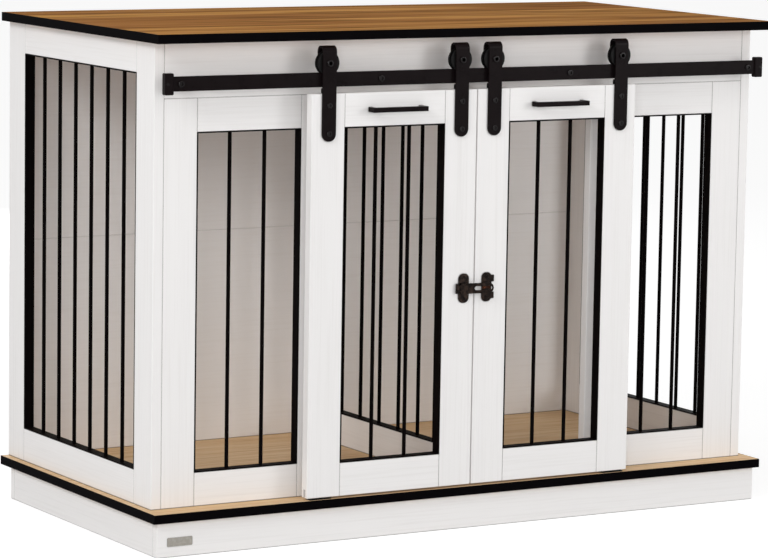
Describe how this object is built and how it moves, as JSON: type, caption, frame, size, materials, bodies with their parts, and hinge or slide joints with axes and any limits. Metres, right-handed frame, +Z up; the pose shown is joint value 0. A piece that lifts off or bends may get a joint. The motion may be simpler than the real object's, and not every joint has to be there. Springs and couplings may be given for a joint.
{
  "type": "pet crate",
  "caption": "White furniture dog crate with a wood-grain top, black steel bars, a divided cabin and barn doors that slide on a flat overhead track and close with a hasp.",
  "frame": {"origin": "on the floor, under the middle of the top and floor boards", "axes": "+X to the right seen from the front, +Y from the doors to the back, +Z up"},
  "size_m": [1.2, 0.617, 0.85],
  "materials": {
    "white_board": "satin white laminate",
    "brown_wood": "brown wood grain",
    "oak_laminate": "light oak laminate",
    "black_edging": "matte",
    "black_steel": "black powder coat",
    "black_nylon": "moulded nylon",
    "dark_bronze": "dark bronze lacquer"
  },
  "bodies": {
    "cabinet": {"back_panel_lower": "white_board", "back_panel_upper": "white_board", "divider_grille": "black_steel", "divider_rails": "white_board", "divider_stiles": "white_board", "floor_board": "oak_laminate", "floor_edge_band": "black_edging", "floor_guides": "black_nylon", "header_rail": "white_board", "left_front_grille": "black_steel", "left_front_rails": "white_board", "left_front_stiles": "white_board", "left_side_grille": "black_steel", "left_side_rails": "white_board", "left_side_stiles": "white_board", "plinth_back": "white_board", "plinth_crossbar": "white_board", "plinth_ends": "white_board", "plinth_front": "white_board", "right_front_grille": "black_steel", "right_front_rails": "white_board", "right_front_stiles": "white_board", "right_side_grille": "black_steel", "right_side_rails": "white_board", "right_side_stiles": "white_board", "top_board": "brown_wood", "top_edge_band": "black_edging", "track_bar": "black_steel", "track_bolts": "black_steel", "track_end_stops": "black_steel", "track_spacers": "black_steel"},
    "left_door": {"left_door_axles": "black_steel", "left_door_bottom_rail": "white_board", "left_door_discs": "black_nylon", "left_door_grille": "black_steel", "left_door_handle": "black_steel", "left_door_hanger_bolts": "black_steel", "left_door_hangers": "black_steel", "left_door_stiles": "white_board", "left_door_top_rail": "white_board", "hasp_plate": "dark_bronze", "hasp_pin": "dark_bronze"},
    "right_door": {"right_door_axles": "black_steel", "right_door_bottom_rail": "white_board", "right_door_discs": "black_nylon", "right_door_grille": "black_steel", "right_door_handle": "black_steel", "right_door_hanger_bolts": "black_steel", "right_door_hangers": "black_steel", "right_door_stiles": "white_board", "right_door_top_rail": "white_board", "staple_plate": "dark_bronze"},
    "left_outer_roller": {"left_door_outer_roller": "black_nylon"},
    "left_inner_roller": {"left_door_inner_roller": "black_nylon"},
    "right_outer_roller": {"right_door_outer_roller": "black_nylon"},
    "right_inner_roller": {"right_door_inner_roller": "black_nylon"},
    "hasp": {"hasp_arm": "dark_bronze"},
    "knob": {"turn_knob": "dark_bronze"}
  },
  "joints": [
    {"name": "left_door_slide", "type": "slide", "parent": "cabinet", "child": "left_door", "axis": [-1, 0, 0], "range_m": [0, 0.262]},
    {"name": "right_door_slide", "type": "slide", "parent": "cabinet", "child": "right_door", "axis": [1, 0, 0], "range_m": [0, 0.262]},
    {"name": "left_outer_roller_spin", "type": "hinge", "parent": "left_door", "child": "left_outer_roller", "pos_m": [-0.28625, -0.29, 0.7973], "axis": [0, -1, 0], "range_deg": [-5, 1006]},
    {"name": "left_inner_roller_spin", "type": "hinge", "parent": "left_door", "child": "left_inner_roller", "pos_m": [-0.03225, -0.29, 0.7973], "axis": [0, -1, 0], "range_deg": [-5, 1006]},
    {"name": "right_outer_roller_spin", "type": "hinge", "parent": "right_door", "child": "right_outer_roller", "pos_m": [0.28625, -0.29, 0.7973], "axis": [0, 1, 0], "range_deg": [-5, 1006]},
    {"name": "right_inner_roller_spin", "type": "hinge", "parent": "right_door", "child": "right_inner_roller", "pos_m": [0.03225, -0.29, 0.7973], "axis": [0, 1, 0], "range_deg": [-5, 1006]},
    {"name": "hasp_swing", "type": "hinge", "parent": "left_door", "child": "hasp", "pos_m": [-0.03535, -0.301, 0.4124], "axis": [0, 0, -1], "range_deg": [-8.5, 150]},
    {"name": "knob_turn", "type": "hinge", "parent": "right_door", "child": "knob", "pos_m": [0.0234, -0.297, 0.4124], "axis": [0, -1, 0], "range_deg": [0, 90]}
  ],
  "couplings": [
    {"joint": "left_outer_roller_spin", "follows": "left_door_slide", "rad_per_m": 66.667},
    {"joint": "left_inner_roller_spin", "follows": "left_door_slide", "rad_per_m": 66.667},
    {"joint": "right_outer_roller_spin", "follows": "right_door_slide", "rad_per_m": 66.667},
    {"joint": "right_inner_roller_spin", "follows": "right_door_slide", "rad_per_m": 66.667}
  ]
}
